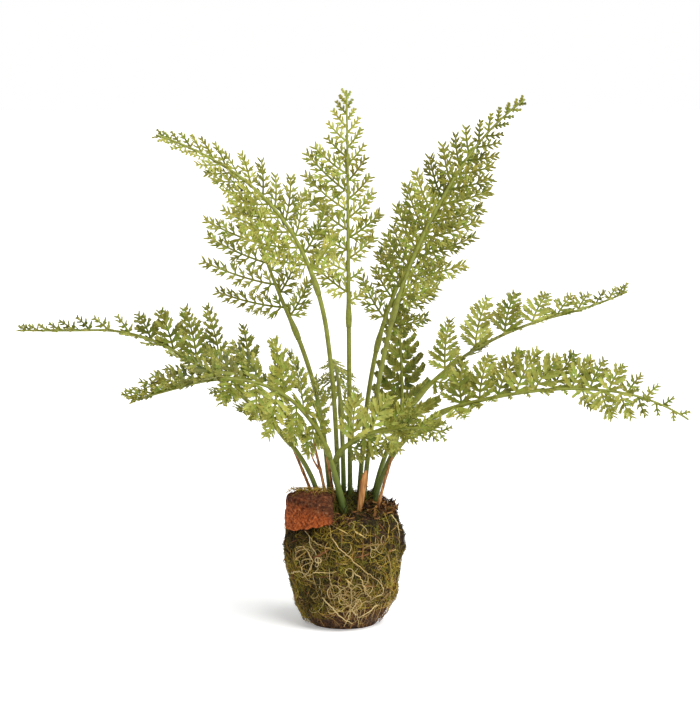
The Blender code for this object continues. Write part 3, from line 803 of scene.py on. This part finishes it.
def rail(foot, heading, length, leans):
    """The middle line of a stem. Its lean from upright is read between equal steps, its direction comes
    from the lean and the heading, and its places are the running sum of the directions. It runs on
    straight into the socket. Gives distances from the soil, places and directions."""
    shares = np.linspace(0, 1, RAIL_STEPS + 1)
    lean = np.radians(np.interp(shares, np.linspace(0, 1, len(leans)), leans))
    turn = math.radians(heading)
    along = np.stack([np.sin(lean) * math.cos(turn), np.sin(lean) * math.sin(turn), np.cos(lean)], axis=1)
    steps = (along[1:] + along[:-1]) / 2 * length / RAIL_STEPS
    places = np.vstack([np.zeros(3), np.cumsum(steps, axis=0)]) + (*foot, SOIL_LEVEL)
    below = places[0] - along[0] * SOCKET_DEPTH
    distances = np.concatenate([[-SOCKET_DEPTH], shares * length])
    return distances, np.vstack([below, places]), np.vstack([along[0], along])


def read_rail(line, distance):
    """Places and directions on the rail at distances from the soil."""
    stations, places, along = line
    where = np.stack([np.interp(distance, stations, places[:, axis]) for axis in range(3)], axis=-1)
    way = np.stack([np.interp(distance, stations, along[:, axis]) for axis in range(3)], axis=-1)
    return where, unit(way)


def railed_bar(line, distance, half_width, flat=1.0):
    """A round bar along a rail, through the distances given, with its tone by the distance. Flat widens
    it sideways."""
    centres, _ = read_rail(line, distance)
    toward_front = np.array([0.0, -1.0, 0.1])
    share = np.clip(distance / STEM_FADE, 0, 1)
    return bars(centres[None], toward_front, half_width * flat, half_width, OCTAGON, share)


# Moulded polyethylene, painted: a soft satin of duller olive, darker green towards the soil, where the
# dark is painted shade, with brown rubbed into it in streaks about 4 mm long.
stem_finish, stem_tree = new_finish("moulded_stem_pe", 0.45, 0.25)
place = add_node(stem_tree, "TexCoord", output="Object")
streaks = add_node(stem_tree, "TexNoise", {"Vector": place, "Scale": 260, "Detail": 3})
# Darker green towards the soil: painted shade at the stems' foot.
stem_greens_and_foot_shade = (0.0, "#38491a"), (0.08, "#52601f"), (0.22, "#6f7429"), (0.50, "#777c2e"), (1.0, "#838a3e")
stem_browns = (0.45, "#ffffff"), (0.60, "#b5a080"), (0.75, "#8a6a4a")
stem_green_and_foot_shade = add_node(stem_tree, "ValToRGB", {"Fac": tone_channels(stem_tree)[0]}, stops=stem_greens_and_foot_shade)
stem_brown = add_node(stem_tree, "ValToRGB", {"Fac": streaks}, stops=stem_browns)
stem_inputs = {0: 0.35, 6: stem_green_and_foot_shade, 7: stem_brown}
stem_colour = add_node(stem_tree, "Mix", stem_inputs, output=2, data_type="RGBA", blend_type="MULTIPLY")
paint(stem_tree, stem_colour, streaks, 0.0004, 0.5)

STEM_HALF, COLLAR_HALF, TIP_HALF = 0.00132, 0.00185, 0.00055
for name, frond in FRONDS.items():
    frond["line"] = rail(frond["foot"], frond["heading"], frond["length"], frond["leans"])
    frond["collar"] = frond["bare"] * frond["length"] - 0.0023
    distance = np.linspace(-PUSHED_IN, frond["collar"], 40)
    flat = 1 + (0.75 if name == "low_left" else 0.15) * np.clip(1 - distance / 0.035, 0, 1)
    stem = railed_bar(frond["line"], distance, np.full(40, STEM_HALF), flat)
    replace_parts(new_piece(f"wire_stem_{name}", joined([stem]), stem_finish), f"stem_{name}")

# --------------------------------------------------------------------------------------------------
# Frond ribs. The moulded rib of each spray, from the sleeve that slips over the stem's end to the tip. It
# swells at the sleeve and thins to a millimetre.

for name, frond in FRONDS.items():
    distance = np.linspace(frond["collar"] - 0.007, frond["length"], 64)
    share = np.clip((distance - frond["collar"]) / (frond["length"] - frond["collar"]), 0, 1)
    swell = np.exp(-(((distance - frond["collar"] + 0.002) / 0.0055) ** 2))
    half = STEM_HALF + (TIP_HALF - STEM_HALF) * share**0.8 + (COLLAR_HALF - STEM_HALF) * swell
    rib = railed_bar(frond["line"], distance, half)
    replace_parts(new_piece(f"rib_{name}", joined([rib]), stem_finish), f"frond_{name}")

# --------------------------------------------------------------------------------------------------
# Frond blades. Lace fern sprays in soft polyethylene, moulded flat with their ribs and bent by hand:
# branches on both sides, side branches on those, and forked lobes on the upright fronds or toothed
# leaflets on the others.

# A leaflet's cross section, folded along its middle.
VEE = ((1, 1.6), (0, 0.8), (-1, 1.6), (0, -0.8))


def grow(place, along, up, side, length, angle, raised, bend, droop, chance):
    """Limbs that leave a parent at places on it. A limb starts at the angle from the parent's way, to the
    left where side is 1 and to the right where it is -1, raised out of the parent's plane. Its own upper
    side is the parent's, turned as much. Bend pulls its end to the parent's way, and droop down."""
    up = unit(up - (up * along).sum(-1, keepdims=True) * along)
    out = side * np.cross(up, along)
    lifted = out * np.cos(raised)[..., None] + up * np.sin(raised)[..., None]
    return {
        "root": place,
        "run": along * np.cos(angle)[..., None] + lifted * np.sin(angle)[..., None],
        "up": up * np.cos(raised)[..., None] - out * np.sin(raised)[..., None],
        "pull": along * bend - up * droop[..., None],
        "length": length,
        "chance": chance,
    }


def limb_line(limb, share):
    """Points and ways of limbs at shares of their length. A point is the root, plus the length times the
    sum of the run times the share and half the pull times the share squared."""
    share = np.broadcast_to(share, (len(limb["root"]), np.shape(share)[-1]))[..., None]
    run, pull, long = limb["run"][:, None], limb["pull"][:, None], limb["length"][:, None, None]
    return limb["root"][:, None] + long * (run * share + pull * share**2 / 2), unit(run + pull * share)


def side_limbs(parent, spacing, most, plain, spread, angle, longest, fullness, bend, fall, tip):
    """Pairs of limbs along each parent, one pair for every spacing of the length beyond the plain length.
    Spread holds the shares of the parent's length where the first and the last leave it. Their length is
    the fullness times the parent's length, or the longest if that is less, and falls to the tip share of
    that. They lean at the angle, less towards the parent's tip. Their colour keeps near the parent's."""
    count = np.clip(np.round((parent["length"] - plain) / spacing), 0, most)[:, None]
    number = np.arange(most)[None]
    along_parent = np.clip(number / np.maximum(count - 0.7, 1), 0, 1)
    share = spread[0] + (spread[1] - spread[0]) * (1 - (1 - along_parent) ** 1.2)
    places, ways = limb_line(parent, share)
    fallen = tip + (1 - tip) * (1 - along_parent) ** fall
    long = np.minimum(fullness * parent["length"][:, None], longest) * fallen
    kept = np.broadcast_to(number < count, share.shape)
    up = np.broadcast_to(parent["up"][:, None], places.shape)
    chance = np.broadcast_to(parent["chance"][:, None], share.shape)
    sets = []
    for side in (1, -1):
        size = long * random.uniform(0.82, 1.12, long.shape)
        lean = math.radians(angle) * (1 - 0.40 * share) + wobble(share.shape, 0.10)
        raised, droop = wobble(share.shape, 0.18), wobble(share.shape, 0.15)
        tint = np.clip(chance + wobble(share.shape, 0.10), 0, 1)
        limb = grow(places, ways, up, side, size, lean, raised, bend, droop, tint)
        sets.append({key: value[kept] for key, value in limb.items()})
    return {key: np.concatenate([one[key] for one in sets]) for key in sets[0]}


def leaf_bars(limb, share, wide, thick, section=DIAMOND, shade=0.0):
    """Each limb as one closed bar. Share, wide and thick are its stations and half sizes there, in mm."""
    share = np.array(share, float)
    centres, _ = limb_line(limb, share)
    chance = np.clip(limb["chance"] + shade, 0, 1)[:, None]
    wide, thick = np.array(wide) / 1000, np.array(thick) / 1000
    return bars(centres, limb["up"][:, None], wide, thick, section, share, chance)


# The stations of a branch's own rib, as shares of its length.
RIB_SHARES = (0, 0.15, 0.3, 0.45, 0.6, 0.75, 0.88, 1)


def lace_branch(branch):
    """A fine branch: a thin rib with feathered side branches, which end in three or five narrow lobes."""
    feather = side_limbs(branch, 0.0052, 9, plain=-0.013, spread=(0.06, 0.93), angle=62, longest=0.0094,
                         fullness=0.40, bend=0.45, fall=0.7, tip=0.42)
    lobe = side_limbs(feather, 0.0030, 2, plain=0.0028, spread=(0.26, 0.60), angle=38, longest=0.0044,
                      fullness=0.50, bend=0.25, fall=0.5, tip=0.75)
    return [
        leaf_bars(branch, RIB_SHARES, (0.70, 0.64, 0.60, 0.58, 0.56, 0.54, 0.60, 0.06), 0.34, shade=-0.15),
        leaf_bars(feather, (0, 0.3, 0.75, 1), (0.48, 0.62, 0.56, 0.04), 0.26),
        leaf_bars(lobe, (0, 0.5, 1), (0.50, 0.58, 0.04), 0.22, shade=0.05),
    ]


def lobed_branch(branch):
    """A leafy branch: a rib with pairs of pointed leaflets folded to a shallow V, edged with teeth that
    point ahead."""
    leaflet = side_limbs(branch, 0.0040, 10, plain=-0.007, spread=(0.05, 0.93), angle=62, longest=0.0120,
                         fullness=0.55, bend=0.35, fall=0.85, tip=0.32)
    tooth = side_limbs(leaflet, 0.0021, 4, plain=0.0026, spread=(0.24, 0.78), angle=46, longest=0.0036,
                       fullness=0.36, bend=0.2, fall=0.5, tip=0.60)
    scale = np.clip(leaflet["length"] / 0.008, 0.50, 1.20)[:, None]
    return [
        leaf_bars(branch, RIB_SHARES, (0.66, 0.62, 0.58, 0.54, 0.50, 0.48, 0.80, 0.05), 0.36, shade=-0.08),
        leaf_bars(leaflet, (0, 0.3, 0.75, 1), scale * (0.50, 1.00, 0.90, 0.05), 0.20, VEE),
        leaf_bars(tooth, (0, 0.5, 1), (0.76, 0.64, 0.03), 0.18, shade=0.06),
    ]


def bladed_branch(branch):
    """A leafy branch whose short broad leaflets overlap into one blade with a saw-toothed edge."""
    leaflet = side_limbs(branch, 0.0027, 15, plain=-0.006, spread=(0.04, 0.95), angle=58, longest=0.0098,
                         fullness=0.35, bend=0.35, fall=0.9, tip=0.32)
    return [
        leaf_bars(branch, RIB_SHARES, (0.66, 0.70, 0.70, 0.66, 0.62, 0.58, 0.80, 0.05), 0.36, shade=-0.08),
        leaf_bars(leaflet, (0, 0.35, 0.75, 1), (0.80, 1.20, 0.85, 0.05), 0.18, VEE),
    ]


def leaf_finish(name, roughness, dark, middle, light, tip):
    """Moulded leaflets: each has its own green between dark and light, mottled at 7 mm and drifting in
    hue at 4 mm. They are yellow at the tips and rust brown at a few places away from their edges."""
    finish, tree = new_finish(name, roughness, 0.2)
    share, chance, edge = tone_channels(tree)
    place = add_node(tree, "TexCoord", output="Object")
    mottle, fine, drift, rust = (
        add_node(tree, "TexNoise", {"Vector": place, "Scale": scale, "Detail": detail, "Roughness": rough})
        for scale, detail, rough in ((140, 4, 0.6), (900, 2, 0.5), (240, 1, 0.5), (60, 3, 0.5))
    )
    wander = add_node(tree, "Math", {0: chance, 1: mottle}, operation="ADD")
    wander = add_node(tree, "Math", {0: wander, 1: 0.5}, operation="MULTIPLY")
    green = add_node(tree, "ValToRGB", {"Fac": wander}, stops=((0.22, dark), (0.50, middle), (0.78, light)))
    hues = (0.30, "#e6ffe2"), (0.48, "#ffffff"), (0.54, "#ffffff"), (0.72, "#fff0d2")
    hue = add_node(tree, "ValToRGB", {"Fac": drift}, stops=hues)
    mixed = dict(output=2, data_type="RGBA")
    green = add_node(tree, "Mix", {0: 1.0, 6: green, 7: hue}, blend_type="MULTIPLY", **mixed)
    reach = add_node(tree, "Math", {0: share, 1: fine}, operation="MULTIPLY")
    reach = add_node(tree, "MapRange", {"Value": reach, "From Min": 0.30, "From Max": 0.62, "To Max": 0.7})
    green = add_node(tree, "Mix", {0: reach, 6: green, 7: linear(tip)}, **mixed)
    rusty = add_node(tree, "ValToRGB", {"Fac": rust}, stops=((0.56, "#000000"), (0.66, "#808080")))
    rusty = add_node(tree, "Mix", {0: edge, 6: linear("#000000"), 7: rusty}, **mixed)
    green = add_node(tree, "Mix", {0: rusty, 6: green, 7: linear("#6b4517")}, **mixed)
    paint(tree, green, fine, 0.0003, 0.5)
    return finish


# Soft moulded polyethylene: a dull satin, like a dry leaf, olive green with yellow tips. The lobed leaves
# are thicker, a little smoother and a deeper green than the lace ones.
leaf_finishes = {
    "lace": leaf_finish("lace_leaf_pe", 0.55, "#3d410c", "#757824", "#b3b45e", "#c6ba6a"),
    "lobed": leaf_finish("lobed_leaf_pe", 0.50, "#303808", "#6d7122", "#aeb058", "#c0b75f"),
}
leaf_finishes["bladed"] = leaf_finishes["lobed"]
leaf_makers = {"lace": lace_branch, "lobed": lobed_branch, "bladed": bladed_branch}


def facing(ends, share):
    """The way a frond's upper side faces: two azimuths and elevations turned to vectors, the first going
    to the last."""
    azimuth, elevation = np.radians(ends).T[..., None]
    level = np.cos(elevation)
    ways = np.concatenate([level * np.cos(azimuth), level * np.sin(azimuth), np.sin(elevation)], axis=1)
    return unit(ways[0] * (1 - share[:, None]) + ways[1] * share[:, None])


# The blades draw from a seed of their own, so that they don't hang on how many fibres the moss has.
random = np.random.default_rng(12)
for name, frond in FRONDS.items():
    blade = frond["length"] - frond["collar"]
    parts = []
    each_side = zip((1, -1), (0.7, 0.3), (frond["left"], frond["right"]), frond["angles"], frond["raised"])
    for side, start, lengths, leaning, raised in each_side:
        along = (np.arange(frond["pairs"]) + start) / frond["pairs"]
        share = 0.03 + 0.955 * (1 - (1 - along) ** frond["crowding"])
        places, ways = read_rail(frond["line"], frond["collar"] + blade * share)
        rows = (lengths, leaning, raised)
        long, angle, lift = (np.interp(share, np.linspace(0, 1, len(row)), row) for row in rows)
        long = long / 1000 * random.uniform(0.9, 1.06, share.shape)
        angle = np.radians(angle) + wobble(share.shape, 0.06)
        lift = np.radians(lift) + wobble(share.shape, 0.14)
        # The frond's shade is painted light and shade: its whole blade is made paler or darker for how well
        # lit it stands.
        chance = np.clip(0.5 + frond["shade"] + random.uniform(-0.20, 0.20, share.shape), 0, 1)
        droop = 0.10 + wobble(share.shape, 0.12)
        up = facing(frond["face"], share)
        branch = grow(places, ways, up, side, long, angle, lift, 0.45, droop, chance)
        parts += leaf_makers[frond["kind"]](branch)
    new_piece(f"spray_{name}", joined(parts), leaf_finishes[frond["kind"]], smooth=False)

# --------------------------------------------------------------------------------------------------
# Dry stalks. Stubs of older stalks, rust brown, brittle and streaked along their length, 2 mm thick,
# pushed into the plug. One still has a fork. They thicken at their joints, and their tops are broken.

# Foot on the soil (x, y), heading, length, and leans from upright at equal steps.
DRY_STALKS = {
    "far_left": ((-0.0138, 0.0040), 190, 0.042, (21, 22, 23)),
    "left": ((-0.0080, -0.0030), 185, 0.042, (11, 12, 14)),
    "straw": ((-0.0042, -0.0045), 185, 0.034, (8, 9, 10)),
    "right": ((0.0178, -0.0100), -5, 0.036, (12, 15, 18)),
}
FORK_PLACE, FORK_LENGTH = 0.026, 0.010
JOINT_SPACING = 0.016

# Dried stalk: woody and dull, cinnamon to tan, in streaks 0.6 mm wide that are eight times as long.
dry_finish, dry_tree = new_finish("dried_stalk", 0.65, 0.3)
place = add_node(dry_tree, "TexCoord", output="Object")
drawn_out = add_node(dry_tree, "Mapping", {"Vector": place, "Scale": (1, 1, 0.12)})
grain = add_node(dry_tree, "TexNoise", {"Vector": drawn_out, "Scale": 1600, "Detail": 4})
dry_stops = (0.32, "#4a2c16"), (0.48, "#855529"), (0.60, "#a6733b"), (0.75, "#c69a5e")
paint(dry_tree, add_node(dry_tree, "ValToRGB", {"Fac": grain}, stops=dry_stops), grain, 0.0003, 0.7)

for name, (foot, heading, length, leans) in DRY_STALKS.items():
    line = rail(foot, heading, length, leans)
    distance = np.linspace(-PUSHED_IN, length, 60)
    joint = np.exp(-(((distance % JOINT_SPACING - 0.010) / 0.0013) ** 2))
    half = np.linspace(0.00105, 0.00072, 60) * (1 + 0.28 * joint) + 0.00004 * np.sin(distance * 1900)
    parts = [railed_bar(line, distance, half)]
    if name == "left":
        root, way = read_rail(line, np.array([FORK_PLACE]))
        share = np.linspace(0, 1, 14)[:, None]
        outward = unit(way + (-0.75, -0.2, 0.1))
        prong = root + FORK_LENGTH * (outward * share + 0.35 * share**2 * (0.3, 0, 0.9))
        slim = np.linspace(0.00075, 0.00035, 14)
        parts.append(bars(prong[None], np.array([0, -1.0, 0]), slim, slim, OCTAGON))
    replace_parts(new_piece(f"dried_{name}", joined(parts), dry_finish), f"dry_stalk_{name}")

# --------------------------------------------------------------------------------------------------
# Dry sheath. The papery husk of an old leaf stalk, tan and lined along its length. It is a shallow
# trough, widest above its middle, with a torn slanting tip, and its foot is tucked into the plug.

SHEATH_FOOT = (0.0075, -0.0125)
SHEATH_LENGTH = 0.0352
SHEATH_LEAN = math.radians(10)
trough = [(side, 0.9 * (1 - side * side)) for side in np.linspace(-1, 1, 9)]
CRESCENT = tuple(trough + [(0.9 * side, lift - 0.35) for side, lift in reversed(trough)])

share = np.linspace(0, 1, 40)
half = np.interp(share, (0, 0.2, 0.5, 0.8, 0.92, 1), (1.5, 1.6, 1.85, 2.25, 1.7, 0.45)) / 1000
half = half + 0.00010 * cell_noise(np.stack([share * 0.03] * 3, axis=1), 0.0015, 51)
side_step = np.sin(share * 5) * 0.0004 + 0.0006 * share**3
distance = SHEATH_LENGTH * share - 0.0078
middle = (
    SHEATH_FOOT[0] + distance * math.sin(SHEATH_LEAN) + side_step,
    SHEATH_FOOT[1] + 0.0003 * np.sin(share * 7),
    SOIL_LEVEL + distance * math.cos(SHEATH_LEAN),
)
middle = np.stack(middle, axis=1)
sheath_above = np.array([0.25, -1.0, 0.0])
sheath = bars(middle[None], sheath_above, half, half * 0.45, CRESCENT)

# Papery husk: dull and fibrous, tan with a darker rim, lined along its length every 0.7 mm.
sheath_finish, sheath_tree = new_finish("papery_husk", 0.7, 0.3)
place = add_node(sheath_tree, "TexCoord", output="Object")
drawn_out = add_node(sheath_tree, "Mapping", {"Vector": place, "Scale": (1, 1, 0.06)})
lines = add_node(sheath_tree, "TexNoise", {"Vector": drawn_out, "Scale": 1500, "Detail": 4})
husk_stops = (0.34, "#6e431f"), (0.50, "#a5713c"), (0.64, "#bd8d55"), (0.78, "#d2b283")
husk_colour = add_node(sheath_tree, "ValToRGB", {"Fac": lines}, stops=husk_stops)
rim_stops = (0.75, "#ffffff"), (1.0, "#8d6a45")
rim = add_node(sheath_tree, "ValToRGB", {"Fac": tone_channels(sheath_tree)[2]}, stops=rim_stops)
rimmed = {0: 0.8, 6: husk_colour, 7: rim}
rimmed = add_node(sheath_tree, "Mix", rimmed, output=2, data_type="RGBA", blend_type="MULTIPLY")
paint(sheath_tree, rimmed, lines, 0.0004, 0.8)
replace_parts(new_piece("husk", joined([sheath]), sheath_finish), "dry_sheath")

# --------------------------------------------------------------------------------------------------
# Floor, light and camera. A pale floor that runs out of sight, one broad soft lamp in a white studio, and
# the object seen from a little above.

FLOOR_REACH = 30
floor_mesh = bpy.data.meshes.new("floor")
floor_corners = [(FLOOR_REACH * x, FLOOR_REACH * y, 0) for x, y in ((-1, -1), (1, -1), (1, 1), (-1, 1))]
floor_mesh.from_pydata(floor_corners, [], [(0, 1, 2, 3)])
floor = bpy.data.objects.new("floor", floor_mesh)
bpy.context.scene.collection.objects.link(floor)
# Seamless studio paper: matt and nearly white, lifted a little so that it reads as pale as the studio.
floor_finish, floor_tree = new_finish("pale_studio_floor", 0.9, 0.1)
floor_inputs = floor_tree.nodes["Principled BSDF"].inputs
floor_inputs["Base Color"].default_value = (0.95, 0.95, 0.95, 1)
floor_inputs["Emission Color"].default_value = (1, 1, 1, 1)
floor_inputs["Emission Strength"].default_value = 0.25
floor_mesh.materials.append(floor_finish)


def turned_towards(holder, place, aim):
    """Puts a lamp or camera at a place and points it at the aim."""
    holder.location = place
    holder.rotation_euler = (Vector(aim) - Vector(place)).to_track_quat("-Z", "Y").to_euler()
    bpy.context.scene.collection.objects.link(holder)


softbox = bpy.data.lights.new("softbox", "SUN")
softbox.energy, softbox.angle = 3.7, math.radians(50)
turned_towards(bpy.data.objects.new("softbox", softbox), (0.6, -0.5, 1.2), (0, 0, 0.12))

world = bpy.data.worlds.new("pale_studio")
bpy.context.scene.world = world
world.use_nodes = True
background = world.node_tree.nodes["Background"].inputs
background["Color"].default_value = (1, 1, 1, 1)
seen = add_node(world.node_tree, "LightPath", output="Is Camera Ray")
brightness = add_node(world.node_tree, "MapRange", {"Value": seen, "To Min": 0.56, "To Max": 1.0})
world.node_tree.links.new(brightness, background["Strength"])
bpy.context.scene.view_settings.view_transform = "Standard"

# A long lens, 1.25 m away.
lens = bpy.data.cameras.new("camera")
lens.lens, lens.sensor_width = 115.4, 36.0
camera = bpy.data.objects.new("camera", lens)
turned_towards(camera, (0.005, -1.250, 0.300), (0.0034, 0, 0.1545))
bpy.context.scene.camera = camera
